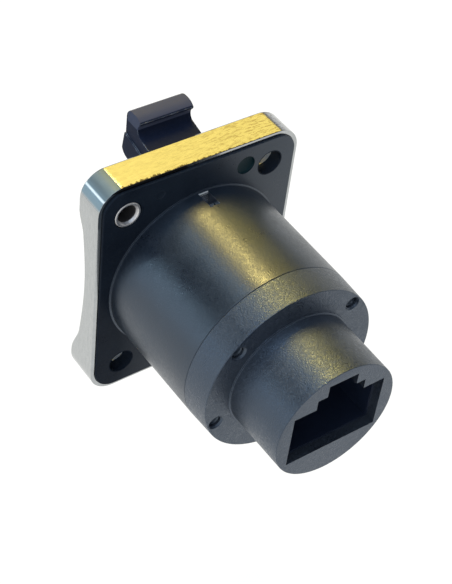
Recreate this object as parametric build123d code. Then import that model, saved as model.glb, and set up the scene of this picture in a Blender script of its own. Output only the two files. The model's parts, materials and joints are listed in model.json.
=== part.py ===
from build123d import *
import math
import os

# A round-barrel panel jack: a plated front shell, a black housing and cap behind the panel, two
# sockets back to back, and a push latch for the front plug. Lengths are in millimetres.
# Y = 0 is the rear face of the flange plate, which seats on the panel. The barrel runs towards +Y.

# Panel interface
hole_pitch_x = 19.0
hole_pitch_z = 24.0
screw_hole_radius = 1.6
countersink_radius = 2.9
countersink_depth = 1.3

# Flange plate of the rear housing
plate_width = 26.0
plate_height = 31.0
plate_thickness = 1.8
plate_proud = 0.3
plate_corner_radius = 2.7
plate_edge_chamfer = 0.1

# Front shell
rim_width = 0.5
rim_gap = 0.05
top_lip_depth = 4.4
waist_depth = 2.77
bottom_lip_depth = 5.2
waist_height = 1.3
top_shoulder_height = 8.3
top_lip_height = 11.2
bottom_shoulder_height = -7.4
bottom_lip_height = -12.4
top_shoulder_share = 0.4
bottom_shoulder_share = 0.33
shell_edge_chamfer = 0.3
collar_face_depth = 5.2
collar_front_radius = 10.9
collar_root_radius = 11.5
collar_edge_chamfer = 0.3
mouth_chamfer = 0.4
overcut = 1.0

# Barrel and plug channel
channel_radius = 9.5
channel_setback = 7.5
barrel_root_radius = 11.58
barrel_rear_radius = 11.46
barrel_length = 15.5
root_ring_width = 0.22
root_ring_height = 0.12
seam_chamfer = 0.12
marker_dimple_x = -6.0
marker_dimple_z = 12.97
marker_dimple_radius = 1.23
marker_dimple_depth = 0.4
ejector_mark_radius = 0.6
ejector_mark_depth = 0.12

# Rear cap
cap_front_radius = 11.46
cap_rear_radius = 11.3
cap_length = 3.85
cap_edge_chamfer = 0.1
nose_root_radius = 8.05
nose_end_radius = 7.95
nose_length = 8.5
nose_wall = 0.65
nose_edge_chamfer = 0.1
nose_ring_width = 0.22
nose_ring_height = 0.12
end_wall = 1.2
mouth_clearance = 0.25
post_circle_radius = 10.2
post_radius = 0.7
post_hole_gap = 0.05
post_recess = 0.5
post_mouth_flare = 0.22
post_root = 1.0
post_angles = (41.0, 139.0, -20.0, 200.0)

# Sockets: the standard eight-way opening, main part, step and key
socket_width = 11.7
socket_floor = 3.65
socket_roof = 3.3
step_width = 5.9
step_roof = 4.7
key_width = 3.4
key_roof = 6.3
contact_trough_width = 9.0
contact_trough_depth = 1.25

# Stack between the housing's ledge and the cap's shoulder
ledge_width = 0.55
ledge_thickness = 1.0
stack_radius = 8.85
stack_gap = 0.1
flange_thickness = 1.8
comb_thickness = 1.8
board_thickness = 1.2
rear_flange_thickness = 2.0
comb_width = 12.6
comb_height = 11.8
comb_corner_radius = 0.8
island_radius = 8.0
island_front = -1.0
island_edge_chamfer = 0.25
insert_gap = 0.05

# Contacts
contact_count = 8
contact_pitch = 1.02
contact_width = 0.45
contact_thickness = 0.3
contact_height = 4.5
contact_reach = 5.4
contact_return = 3.6
contact_rise = 2.9
contact_bend_radius = 0.5
contact_slot_gap = 0.05

# Latch
pin_y = -2.75
pin_z = 12.7
pin_radius = 0.6
pin_running_gap = 0.04
pin_seat_gap = 0.02
pin_length = 11.4
tab_width = 7.3
tab_top = 17.4
tab_face_depth = 10.72
brow_round = 1.15
lip_rear_depth = 7.85
lip_crest = 1.25
lip_fall = 0.55
lip_edge = 0.25
throat_bow = 0.45
chin_depth = 11.05
chin_height = 11.5
chin_top = 13.8
chin_undercut = 0.35
skirt_width = 7.7
skirt_top = 13.9
skirt_fall = 0.26
skirt_rear = 5.2
lever_side_gap = 0.25
stem_neck_depth = 5.0
stem_drop = 2.45
stem_neck_drop = 0.75
stem_bottom = 10.9
stem_top_gap = 0.2
boss_radius = 1.4
boss_gap = 0.25
arm_width = 4.2
arm_bottom = 9.05
arm_top = 9.85
arm_end = 4.4
arm_crotch = 0.3
tooth_ramp = 0.5
tooth_tip_slope = 0.3
tooth_length = 1.3
tooth_drop = 0.45
arm_side_gap = 0.2
groove_roof = 10.75
groove_setback = 0.4
slot_width = 1.3
slot_start = 0.35
slot_end = 2.75

# Leaf spring
leaf_width = 3.0
leaf_thickness = 0.2
leaf_tab_width = 1.2
leaf_tab_height = 0.62
leaf_tab_gap = 0.1
leaf_flat = 1.0
leaf_bend_radius = 1.5
leaf_press_y = 3.5
leaf_end_gap = 0.6

# Hollow rivets
rivet_pitch_x = 19.6
rivet_pitch_z = 24.0
rivet_outer_radius = 1.3
rivet_bore_radius = 1.1
rivet_hole_gap = 0.05
rivet_rim_width = 0.4
rivet_rim_thickness = 0.32
rivet_head_radius = 2.3
rivet_head_depth = 1.0
rivet_rim_chamfer = 0.12
rivet_mouth_chamfer = 0.3
rivet_recess_gap = 0.04
rivet_recess_flare = 0.14
rivet_rim_sink = 0.02

# Places worked out from the sizes above
hole_x = hole_pitch_x / 2
hole_z = hole_pitch_z / 2
shell_width = plate_width + 2 * (rim_gap + rim_width)
shell_height = plate_height + 2 * (rim_gap + rim_width)
shell_corner_radius = plate_corner_radius + rim_gap + rim_width
cap_front = barrel_length
channel_end = barrel_length - channel_setback
groove_end = channel_end - groove_setback
leaf_end = groove_end - leaf_end_gap
cap_rear = cap_front + cap_length
nose_end = cap_rear + nose_length
ledge_rear = channel_end + ledge_thickness
front_flange_rear = ledge_rear + flange_thickness
board_front = front_flange_rear + comb_thickness
board_rear = board_front + board_thickness
rear_comb_rear = board_rear + comb_thickness
cap_shoulder = rear_comb_rear + rear_flange_thickness
rear_socket_end = nose_end - end_wall
stack_bore_radius = stack_radius + stack_gap
ledge_inner_radius = stack_bore_radius - ledge_width
insert_bore_radius = nose_end_radius - nose_wall
insert_radius = insert_bore_radius - insert_gap
clear_front = -bottom_lip_depth - overcut
stem_top = tab_top - stem_drop
stem_neck_top = stem_top - stem_neck_drop
rivet_rim_reach = rivet_outer_radius + rivet_rim_width
rivet_rim_seat = -rivet_rim_thickness - rivet_rim_sink
screw_places = ((-hole_x, hole_z), (hole_x, -hole_z))
rivet_x = rivet_pitch_x / 2
rivet_z = rivet_pitch_z / 2
rivet_places = ((rivet_x, rivet_z), (-rivet_x, -rivet_z))


def prism(face, y_front, y_rear):
    """A face drawn in X and Z, made solid from one depth to the other."""
    return extrude(Plane.XZ.offset(-y_rear) * face, amount=y_rear - y_front)


def disc(radius, y_front, y_rear, x=0.0, z=0.0):
    return prism(Pos(x, z) * Circle(radius), y_front, y_rear)


def taper(front_radius, rear_radius, y_front, y_rear, x=0.0, z=0.0):
    """A round taper along Y."""
    cone = Cone(rear_radius, front_radius, y_rear - y_front, align=(Align.CENTER, Align.CENTER, Align.MIN))
    return Plane.XZ.offset(-y_rear) * Pos(x, z, 0) * cone


def block(width, y_front, y_rear, z_low, z_high, x=0.0):
    return prism(Pos(x, (z_low + z_high) / 2) * Rectangle(width, z_high - z_low), y_front, y_rear)


def side_plate(outline, width):
    """An outline drawn in Y and Z, made solid to both sides of the middle plane."""
    return extrude(Plane.YZ * make_face(outline), amount=width / 2, both=True)


def stepped_face(clearance, key_up):
    """The eight-way socket's outline, grown by a clearance, with its key up or down."""
    side = socket_width / 2 + clearance
    floor = -socket_floor - clearance
    roof = socket_roof + clearance
    shape = Pos(0, (floor + roof) / 2) * Rectangle(2 * side, roof - floor)
    for step, top in ((step_width, step_roof + clearance), (key_width, key_roof + clearance)):
        shape += Pos(0, (floor + top) / 2) * Rectangle(step + 2 * clearance, top - floor)
    if not key_up:
        shape = mirror(shape, about=Plane.XZ)
    return shape


def contact_run_end(board_face, direction):
    return board_face + direction * (comb_thickness + contact_reach)


def socket_cut(y_mouth, y_back, y_trough, key_up):
    """The socket's hollow with the trough that the contacts spring into."""
    low, high = sorted((y_mouth, y_back))
    cut = prism(stepped_face(0, key_up), low, high)
    trough_low, trough_high = sorted((y_trough, y_back))
    floor = -socket_floor if key_up else socket_floor
    bottom = floor + math.copysign(contact_trough_depth, floor)
    z_low, z_high = sorted((floor / 2, bottom))
    return cut + block(contact_trough_width, trough_low, trough_high, z_low, z_high)


def make_shell_blank():
    """The flange with its waisted front: thick lips at top and bottom, thin in the middle."""
    top = shell_height / 2
    outline = Line((-plate_proud, -top), (-plate_proud, top))
    outline += Line((-plate_proud, top), (-top_lip_depth, top))
    outline += Line((-top_lip_depth, top), (-top_lip_depth, top_lip_height))
    shoulder_depth = waist_depth + top_shoulder_share * (top_lip_depth - waist_depth)
    low_shoulder_depth = waist_depth + bottom_shoulder_share * (bottom_lip_depth - waist_depth)
    outline += Spline(
        (-top_lip_depth, top_lip_height),
        (-shoulder_depth, top_shoulder_height),
        (-waist_depth, waist_height),
        (-low_shoulder_depth, bottom_shoulder_height),
        (-bottom_lip_depth, bottom_lip_height),
        tangents=((0, -1), (0, -1)),
    )
    outline += Line((-bottom_lip_depth, bottom_lip_height), (-bottom_lip_depth, -top))
    outline += Line((-bottom_lip_depth, -top), (-plate_proud, -top))
    depth_form = side_plate(outline, shell_width + overcut)
    plan_form = prism(
        RectangleRounded(shell_width, shell_height, shell_corner_radius), clear_front, -plate_proud
    )
    blank = plan_form & depth_form
    front_edges = [
        edge
        for edge in blank.edges()
        if edge.center().Y < -plate_thickness and not edge_runs_along_y(edge)
    ]
    return chamfer(front_edges, shell_edge_chamfer)


def edge_runs_along_y(edge):
    box = edge.bounding_box()
    return box.size.Y > max(box.size.X, box.size.Z)


def make_collar():
    """The raised ring round the front opening."""
    ring = taper(collar_front_radius, collar_root_radius, -collar_face_depth, -plate_thickness)
    front_edge = ring.edges().group_by(Axis.Y)[0]
    return chamfer(front_edge, collar_edge_chamfer)


def latch_notch_half_width():
    return skirt_width / 2 + lever_side_gap


def lip_depth_at(z):
    return top_lip_depth if z > 0 else bottom_lip_depth


def sunk_hole(hole_radius, head_radius, head_depth, x, z):
    """A hole through the flange with a tapered seat in its front face."""
    face = -lip_depth_at(z)
    hole = disc(hole_radius, clear_front, 0, x, z)
    hole += taper(head_radius, hole_radius, face, face + head_depth, x, z)
    return hole + disc(head_radius, clear_front, face, x, z)


def pin_seat():
    """The blind cross hole for the hinge pin, open to the rear so that the pin drops in."""
    radius = pin_radius + pin_seat_gap
    length = pin_length + 2 * pin_seat_gap
    seat = Plane.YZ * Pos(pin_y, pin_z, 0) * Cylinder(radius, length)
    return seat + block(length, pin_y, 0, pin_z - radius, pin_z + radius)


def make_front_shell():
    shell = make_shell_blank() + make_collar()
    pocket = RectangleRounded(
        plate_width + 2 * rim_gap, plate_height + 2 * rim_gap, plate_corner_radius + rim_gap
    )
    shell -= prism(pocket, -plate_thickness, 0)
    shell -= disc(channel_radius, clear_front, 0)
    shell -= taper(
        channel_radius + 2 * mouth_chamfer, channel_radius, -collar_face_depth - mouth_chamfer,
        -collar_face_depth + mouth_chamfer,
    )
    shell -= block(
        2 * latch_notch_half_width(), clear_front, 0, channel_radius - overcut, stem_top + stem_top_gap
    )
    for x, z in screw_places:
        shell -= sunk_hole(screw_hole_radius, countersink_radius, countersink_depth, x, z)
    for x, z in rivet_places:
        shell -= sunk_hole(
            rivet_outer_radius + rivet_hole_gap, rivet_head_radius + rivet_hole_gap, rivet_head_depth, x, z
        )
    return shell - pin_seat()


def make_plate():
    """The flange plate, with its rear edges bevelled and the corner holes through it."""
    outline = RectangleRounded(plate_width, plate_height, plate_corner_radius)
    plate = prism(outline, -plate_thickness, 0)
    plate = chamfer(plate.edges().group_by(Axis.Y)[-1], plate_edge_chamfer)
    for x, z in screw_places:
        plate -= disc(screw_hole_radius, -plate_thickness, 0, x, z)
    for x, z in rivet_places:
        plate -= disc(rivet_outer_radius + rivet_hole_gap, -plate_thickness, 0, x, z)
        recess_radius = rivet_rim_reach + rivet_recess_gap
        plate -= taper(recess_radius, recess_radius + rivet_recess_flare, rivet_rim_seat, 0, x, z)
    plate -= disc(marker_dimple_radius, -marker_dimple_depth, 0, marker_dimple_x, marker_dimple_z)
    return plate - disc(ejector_mark_radius, -ejector_mark_depth, 0, -marker_dimple_x, marker_dimple_z)


def make_barrel():
    barrel = taper(barrel_root_radius, barrel_rear_radius, 0, barrel_length)
    barrel = chamfer(barrel.edges().group_by(Axis.Y)[-1], seam_chamfer)
    return barrel + disc(barrel_root_radius + root_ring_width, 0, root_ring_height)


def latch_space():
    """The room that the lever's boss and arm need in the plate and in the top of the barrel."""
    boss_space = boss_radius + boss_gap
    low = channel_radius - overcut
    notch_width = 2 * latch_notch_half_width()
    pocket = block(notch_width, -plate_thickness, pin_y + boss_space, low, pin_z + boss_space)
    groove = block(arm_width + 2 * arm_side_gap, -plate_thickness, groove_end, low, groove_roof)
    slot = block(slot_width, slot_start, slot_end, low, barrel_root_radius + overcut)
    return pocket + groove + slot


def post_places():
    turns = [math.radians(angle) for angle in post_angles]
    return [(post_circle_radius * math.cos(turn), post_circle_radius * math.sin(turn)) for turn in turns]


def make_rear_housing():
    housing = make_plate() + make_barrel()
    housing -= disc(channel_radius, -plate_thickness, channel_end)
    housing -= disc(ledge_inner_radius, channel_end, ledge_rear)
    housing -= disc(stack_bore_radius, ledge_rear, barrel_length)
    housing -= latch_space()
    for x, z in post_places():
        housing += disc(post_radius, barrel_length - post_root, cap_rear - post_recess, x, z)
    return housing


def make_rear_cap():
    cap = taper(cap_front_radius, cap_rear_radius, cap_front, cap_rear)
    cap = chamfer(cap.edges().group_by(Axis.Y)[-1], cap_edge_chamfer)
    cap = chamfer(cap.edges().group_by(Axis.Y)[0], seam_chamfer)
    nose = taper(nose_root_radius, nose_end_radius, cap_rear, nose_end)
    cap += chamfer(nose.edges().group_by(Axis.Y)[-1], nose_edge_chamfer)
    cap += disc(nose_root_radius + nose_ring_width, cap_rear, cap_rear + nose_ring_height)
    cap -= disc(stack_bore_radius, cap_front, cap_shoulder)
    cap -= disc(insert_bore_radius, cap_shoulder, rear_socket_end)
    cap -= prism(stepped_face(mouth_clearance, True), rear_socket_end, nose_end)
    hole_radius = post_radius + post_hole_gap
    for x, z in post_places():
        cap -= disc(hole_radius, cap_front, cap_rear, x, z)
        cap -= taper(hole_radius, hole_radius + post_mouth_flare, cap_rear - post_mouth_flare, cap_rear, x, z)
    return cap


def make_front_jack_body():
    """The island in the plug channel, with a foot that seats behind the housing's ledge."""
    body = disc(island_radius, island_front, ledge_rear)
    body = chamfer(body.edges().group_by(Axis.Y)[0], island_edge_chamfer)
    body += disc(stack_radius, ledge_rear, front_flange_rear)
    return body - socket_cut(island_front, front_flange_rear, contact_run_end(board_front, -1), False)


def make_rear_jack_body():
    """The insert in the nose, with a foot that seats on the cap's inner shoulder."""
    body = disc(insert_radius, cap_shoulder, rear_socket_end)
    body += disc(stack_radius, rear_comb_rear, cap_shoulder)
    return body - socket_cut(rear_socket_end, rear_comb_rear, contact_run_end(board_rear, 1), True)


def contact_places():
    first = -(contact_count - 1) / 2 * contact_pitch
    return [first + index * contact_pitch for index in range(contact_count)]


def make_comb(y_front, contact_z):
    """A block between a socket and the board, with one slot for each contact."""
    comb = prism(
        RectangleRounded(comb_width, comb_height, comb_corner_radius), y_front, y_front + comb_thickness
    )
    slot_height = contact_thickness + 2 * contact_slot_gap
    for x in contact_places():
        comb -= block(
            contact_width + 2 * contact_slot_gap, y_front, y_front + comb_thickness,
            contact_z - slot_height / 2, contact_z + slot_height / 2, x,
        )
    return comb


def make_link_board():
    return disc(stack_radius, board_front, board_rear)


def make_contact(x, board_face, direction, contact_z):
    """A strip that leaves the board, runs under the socket and springs back into it."""
    run_end = contact_run_end(board_face, direction)
    tip_y = run_end - direction * contact_return
    tip_z = contact_z - math.copysign(contact_rise, contact_z)
    path = FilletPolyline(
        (board_face, contact_z), (run_end, contact_z), (tip_y, tip_z), radius=contact_bend_radius
    )
    strip = trace(path, contact_thickness)
    strip -= Pos(board_face - direction * overcut, contact_z) * Rectangle(2 * overcut, 2 * overcut)
    return Pos(x, 0, 0) * extrude(Plane.YZ * strip, amount=contact_width / 2, both=True)


def tab_outline():
    """The lever's head, stem and boss seen from the side."""
    face = -tab_face_depth
    lip_rear = -lip_rear_depth
    lip_nose = tab_top - lip_fall
    lip_under = lip_nose - lip_edge
    heel = (-chin_depth, chin_height)
    toe = (-chin_depth + 2 * (chin_height - stem_bottom), stem_bottom - chin_undercut)
    outline = Line((face + brow_round, tab_top), (lip_rear - lip_crest, tab_top))
    outline += TangentArc((lip_rear - lip_crest, tab_top), (lip_rear, lip_nose), tangent=(1, 0))
    outline += Line((lip_rear, lip_nose), (lip_rear, lip_under))
    outline += ThreePointArc(
        (lip_rear, lip_under), (lip_rear - throat_bow, (lip_under + stem_top) / 2), (lip_rear, stem_top)
    )
    outline += Polyline(
        (lip_rear, stem_top), (-stem_neck_depth, stem_neck_top), (pin_y, pin_z + boss_radius)
    )
    outline += ThreePointArc(
        (pin_y, pin_z + boss_radius), (pin_y + boss_radius, pin_z), (pin_y, pin_z - boss_radius)
    )
    outline += Polyline((pin_y, pin_z - boss_radius), (-stem_neck_depth, stem_bottom), toe)
    outline += TangentArc(heel, toe, tangent=(0, -1))
    outline += Polyline(heel, (face, chin_top), (face, tab_top - brow_round))
    return outline + TangentArc(
        (face, tab_top - brow_round), (face + brow_round, tab_top), tangent=(0, 1)
    )


def skirt_outline():
    """The slanted box that marks off the wider lower part of the head and stem."""
    front = -chin_depth - overcut
    low = stem_bottom - overcut
    rear_top = skirt_top - skirt_fall * (tab_face_depth - skirt_rear)
    front_top = skirt_top + skirt_fall * (chin_depth + overcut - tab_face_depth)
    return Polyline(
        (front, low), (-skirt_rear, low), (-skirt_rear, rear_top), (front, front_top), close=True
    )


def arm_outline():
    """The arm that reaches from the boss into the plug channel, with its hook tooth."""
    root = pin_y - boss_radius / 2
    tooth_front = arm_end - tooth_length
    tooth_bottom = arm_bottom - tooth_drop
    return Polyline(
        (root, pin_z),
        (root, arm_top),
        (pin_y, arm_bottom),
        (tooth_front - tooth_ramp, arm_bottom),
        (tooth_front, tooth_bottom),
        (arm_end - tooth_tip_slope, tooth_bottom),
        (arm_end, arm_bottom),
        (arm_end, arm_top),
        (pin_y + boss_radius + arm_crotch, arm_top),
        (pin_y + boss_radius / 2, pin_z - boss_radius / 2),
        (pin_y + boss_radius / 2, pin_z),
        close=True,
    )


def make_latch_lever():
    lever = side_plate(tab_outline(), tab_width)
    skirt = side_plate(tab_outline(), skirt_width) & side_plate(skirt_outline(), skirt_width)
    lever += skirt
    lever += side_plate(arm_outline(), arm_width)
    bore = Plane.YZ * Pos(pin_y, pin_z, 0) * Cylinder(pin_radius + pin_running_gap, skirt_width + overcut)
    return lever - bore


def make_latch_pin():
    return Plane.YZ * Pos(pin_y, pin_z, 0) * Cylinder(pin_radius, pin_length)


def make_latch_spring():
    """A bowed leaf between the groove's roof and the lever's arm, with a tab up in the slot."""
    half = leaf_thickness / 2
    start = slot_start + leaf_tab_gap + half
    roof = groove_roof - half
    press = arm_top + half
    path = FilletPolyline(
        (start, roof), (start + leaf_flat, roof), (leaf_press_y, press), (leaf_end, roof),
        radius=leaf_bend_radius,
    )
    leaf = extrude(Plane.YZ * trace(path, leaf_thickness), amount=leaf_width / 2, both=True)
    leaf &= block(leaf_width, start - half, leaf_end, press - half, groove_roof)
    tab = block(leaf_tab_width, start - half, start + half, roof, groove_roof + leaf_tab_height)
    return leaf + tab


def make_rivet(x, z):
    """A hollow rivet: a flared head in the shell, a tube, and a rolled rim on the plate."""
    face = -lip_depth_at(z)
    rim_top = rivet_rim_seat + rivet_rim_thickness
    body = disc(rivet_outer_radius, face + rivet_head_depth / 2, rim_top, x, z)
    body += taper(rivet_head_radius, rivet_outer_radius, face, face + rivet_head_depth, x, z)
    body += disc(rivet_rim_reach, rivet_rim_seat, rim_top, x, z)
    body = chamfer(body.edges().group_by(Axis.Y)[-1], rivet_rim_chamfer)
    body -= disc(rivet_bore_radius, face, rim_top, x, z)
    mouth_edge = body.edges().group_by(Axis.Y)[-1].sort_by(SortBy.LENGTH)[0]
    return chamfer(mouth_edge, rivet_mouth_chamfer)


def build_parts():
    parts = {
        "front_shell": make_front_shell(),
        "rear_housing": make_rear_housing(),
        "rear_cap": make_rear_cap(),
        "front_jack_body": make_front_jack_body(),
        "rear_jack_body": make_rear_jack_body(),
        "front_comb": make_comb(front_flange_rear, contact_height),
        "rear_comb": make_comb(board_rear, -contact_height),
        "link_board": make_link_board(),
        "latch_lever": make_latch_lever(),
        "latch_pin": make_latch_pin(),
        "latch_spring": make_latch_spring(),
        "rivet_upper": make_rivet(*rivet_places[0]),
        "rivet_lower": make_rivet(*rivet_places[1]),
    }
    for number, x in enumerate(contact_places(), start=1):
        parts[f"front_contact_{number}"] = make_contact(x, board_front, -1, contact_height)
        parts[f"rear_contact_{number}"] = make_contact(x, board_rear, 1, -contact_height)
    return parts


os.makedirs("parts", exist_ok=True)
for name, shape in build_parts().items():
    export_step(shape, f"parts/{name}.step")
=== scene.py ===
import json
import math

import bmesh
import bpy
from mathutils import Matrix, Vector

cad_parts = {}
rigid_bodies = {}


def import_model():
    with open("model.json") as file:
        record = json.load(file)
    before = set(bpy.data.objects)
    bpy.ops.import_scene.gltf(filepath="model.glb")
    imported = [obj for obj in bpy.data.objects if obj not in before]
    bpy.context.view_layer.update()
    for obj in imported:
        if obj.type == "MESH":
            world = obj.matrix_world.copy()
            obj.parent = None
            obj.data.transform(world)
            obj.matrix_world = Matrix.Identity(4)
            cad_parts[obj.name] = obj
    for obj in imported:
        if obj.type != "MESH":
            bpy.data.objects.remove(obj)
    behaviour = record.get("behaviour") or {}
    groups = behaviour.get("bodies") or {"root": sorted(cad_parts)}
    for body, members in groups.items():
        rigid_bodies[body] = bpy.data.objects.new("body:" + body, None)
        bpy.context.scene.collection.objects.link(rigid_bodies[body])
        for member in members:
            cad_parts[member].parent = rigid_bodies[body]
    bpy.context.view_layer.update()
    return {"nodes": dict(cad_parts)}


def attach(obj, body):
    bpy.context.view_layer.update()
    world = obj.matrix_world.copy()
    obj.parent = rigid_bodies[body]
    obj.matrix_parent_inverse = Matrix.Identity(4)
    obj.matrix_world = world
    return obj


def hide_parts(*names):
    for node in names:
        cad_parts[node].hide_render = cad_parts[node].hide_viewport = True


mm = 0.001


print("stage: frame")
bpy.ops.object.select_all(action="SELECT")
bpy.ops.object.delete()
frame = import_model()
nodes = frame["nodes"]


print("stage: camera")
viewer = {
    "place": (76.08 * mm, 97.08 * mm, 117.29 * mm),
    "turn": (45.2305, -5.5564, 145.4096),
    "lens": 88.06,
}
bpy.ops.object.camera_add(
    location=viewer["place"], rotation=[math.radians(angle) for angle in viewer["turn"]]
)
camera = bpy.context.object
camera.data.sensor_width = 36
camera.data.lens = viewer["lens"]
camera.data.clip_start = 0.01
camera.data.clip_end = 10
bpy.context.scene.camera = camera


print("stage: floor and light")
studio = {
    "floorHeight": -46 * mm,
    "floorSize": 3.0,
    "floorColour": (0.42, 0.47, 0.56, 1.0),
    "floorGlow": 0.96,
    "shadowColour": (0.10, 0.11, 0.12, 1.0),
    "horizonColour": (0.46, 0.53, 0.62, 1.0),
    "ceilingColour": (0.045, 0.06, 0.09, 1.0),
    "whiteTop": 0.14,
    "ceilingStart": 0.45,
}


def addLamp(name, direction, distance, size, power, colour):
    place = Vector(direction).normalized() * distance
    bpy.ops.object.light_add(type="AREA", location=place)
    lamp = bpy.context.object
    lamp.name = name
    lamp.data.shape = "RECTANGLE"
    lamp.data.size, lamp.data.size_y = size
    lamp.data.energy = power
    lamp.data.color = colour
    lamp.rotation_mode = "QUATERNION"
    lamp.rotation_quaternion = (Vector((0, 6 * mm, 0)) - place).to_track_quat("-Z", "Y")


addLamp("warmLamp", (-0.195, -0.455, 0.87), 0.6, (0.075, 0.21), 2.5, (1.0, 0.69, 0.20))
addLamp("amberLamp", (-0.485, -0.605, 0.61), 0.6, (0.27, 0.26), 0.46, (1.0, 0.75, 0.15))
addLamp("coolLamp", (0.16, -0.45, 0.86), 0.6, (0.10, 0.26), 0.33, (0.66, 0.84, 1.0))
addLamp("stripLamp", (0.77, -0.57, 0.30), 0.6, (0.03, 0.16), 0.10, (0.72, 0.92, 1.0))
addLamp("sideLamp", (0.80, -0.50, 0.12), 0.6, (0.32, 0.32), 0.30, (0.46, 0.74, 1.0))
addLamp("skyLamp", (0.30, -0.05, 0.95), 0.7, (0.4, 0.4), 1.6, (0.66, 0.82, 1.0))
addLamp("fillLamp", (0.7, 0.7, 0.9), 0.9, (0.9, 0.9), 2.6, (0.80, 0.88, 1.0))


def seenMask(tree):
    # 1 for what the camera sees directly, through clear parts or mirrored in shiny ones
    path = tree.nodes.new("ShaderNodeLightPath")
    total = path.outputs["Is Camera Ray"]
    for ray in ("Is Glossy Ray", "Is Transmission Ray"):
        larger = tree.nodes.new("ShaderNodeMath")
        larger.operation = "MAXIMUM"
        tree.links.new(total, larger.inputs[0])
        tree.links.new(path.outputs[ray], larger.inputs[1])
        total = larger.outputs[0]
    return total


def chooseShader(tree, mask, plain, chosen):
    choice = tree.nodes.new("ShaderNodeMixShader")
    tree.links.new(mask, choice.inputs[0])
    tree.links.new(plain.outputs[0], choice.inputs[1])
    tree.links.new(chosen.outputs[0], choice.inputs[2])
    return choice


def makeRoom():
    # white walls and a dim ceiling for what is seen and mirrored, soft blue ones for the fill
    world = bpy.data.worlds.new("softRoom")
    bpy.context.scene.world = world
    world.use_nodes = True
    tree = world.node_tree
    tree.nodes.clear()
    height = tree.nodes.new("ShaderNodeSeparateXYZ")
    tree.links.new(tree.nodes.new("ShaderNodeTexCoord").outputs["Generated"], height.inputs[0])
    share = tree.nodes.new("ShaderNodeMapRange")
    share.interpolation_type = "SMOOTHSTEP"
    share.inputs["From Min"].default_value = studio["whiteTop"]
    share.inputs["From Max"].default_value = studio["ceilingStart"]
    tree.links.new(height.outputs["Z"], share.inputs["Value"])
    rooms = []
    for wallColour in (studio["horizonColour"], (1, 1, 1, 1)):
        blend = tree.nodes.new("ShaderNodeMix")
        blend.data_type = "RGBA"
        blend.inputs[6].default_value = wallColour
        blend.inputs[7].default_value = studio["ceilingColour"]
        tree.links.new(share.outputs["Result"], blend.inputs[0])
        room = tree.nodes.new("ShaderNodeBackground")
        tree.links.new(blend.outputs[2], room.inputs["Color"])
        rooms.append(room)
    choice = chooseShader(tree, seenMask(tree), rooms[0], rooms[1])
    output = tree.nodes.new("ShaderNodeOutputWorld")
    tree.links.new(choice.outputs[0], output.inputs[0])


def makeFloor():
    # white with a faint shadow where it is seen or mirrored, a plain pale sheet for the fill
    bpy.ops.mesh.primitive_plane_add(size=studio["floorSize"], location=(0, 0, studio["floorHeight"]))
    floor = bpy.context.object
    floor.name = "floor"
    material = bpy.data.materials.new("paleFloor")
    material.use_nodes = True
    tree = material.node_tree
    tree.nodes.clear()
    plain = tree.nodes.new("ShaderNodeBsdfDiffuse")
    plain.inputs["Color"].default_value = studio["floorColour"]
    shadowed = tree.nodes.new("ShaderNodeBsdfDiffuse")
    shadowed.inputs["Color"].default_value = studio["shadowColour"]
    glow = tree.nodes.new("ShaderNodeEmission")
    glow.inputs["Color"].default_value = (1, 1, 1, 1)
    glow.inputs["Strength"].default_value = studio["floorGlow"]
    lit = tree.nodes.new("ShaderNodeAddShader")
    tree.links.new(shadowed.outputs[0], lit.inputs[0])
    tree.links.new(glow.outputs[0], lit.inputs[1])
    choice = chooseShader(tree, seenMask(tree), plain, lit)
    output = tree.nodes.new("ShaderNodeOutputMaterial")
    tree.links.new(choice.outputs[0], output.inputs["Surface"])
    floor.data.materials.append(material)


bpy.context.scene.view_settings.view_transform = "Standard"
makeRoom()
makeFloor()


print("stage: shader groups")


def newGroup(name, outputs):
    group = bpy.data.node_groups.new(name, "ShaderNodeTree")
    for label, kind in outputs:
        group.interface.new_socket(name=label, in_out="OUTPUT", socket_type=kind)
    return group, group.nodes.new("NodeGroupOutput")


def addNode(tree, kind, settings=None, inputs=None):
    node = tree.nodes.new(kind)
    for name, value in (settings or {}).items():
        setattr(node, name, value)
    for name, value in (inputs or {}).items():
        if hasattr(value, "links"):
            tree.links.new(value, node.inputs[name])
        else:
            node.inputs[name].default_value = value
    return node


def addNoise(tree, vector, scale, detail=3.0, rough=0.55):
    node = addNode(tree, "ShaderNodeTexNoise", inputs={
        "Vector": vector, "Scale": scale, "Detail": detail, "Roughness": rough,
    })
    return node.outputs["Fac"]


def addMath(tree, operation, first, second, clamp=False):
    node = addNode(tree, "ShaderNodeMath", {"operation": operation, "use_clamp": clamp})
    for socket, value in zip(node.inputs, (first, second)):
        if hasattr(value, "links"):
            tree.links.new(value, socket)
        else:
            socket.default_value = value
    return node.outputs[0]


def addRange(tree, value, fromLow, fromHigh, toLow, toHigh):
    node = addNode(tree, "ShaderNodeMapRange", inputs={
        "Value": value, "From Min": fromLow, "From Max": fromHigh, "To Min": toLow, "To Max": toHigh,
    })
    return node.outputs["Result"]


def stretched(tree, vector, x, y, z):
    node = addNode(tree, "ShaderNodeMapping", {"vector_type": "POINT"}, {
        "Vector": vector, "Scale": (x, y, z),
    })
    return node.outputs["Vector"]


def objectPlace(tree):
    return addNode(tree, "ShaderNodeTexCoord").outputs["Object"]


def splitAxes(tree, vector):
    return addNode(tree, "ShaderNodeSeparateXYZ", inputs={"Vector": vector}).outputs


def facing(tree):
    return addNode(tree, "ShaderNodeNewGeometry").outputs["Normal"]


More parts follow.
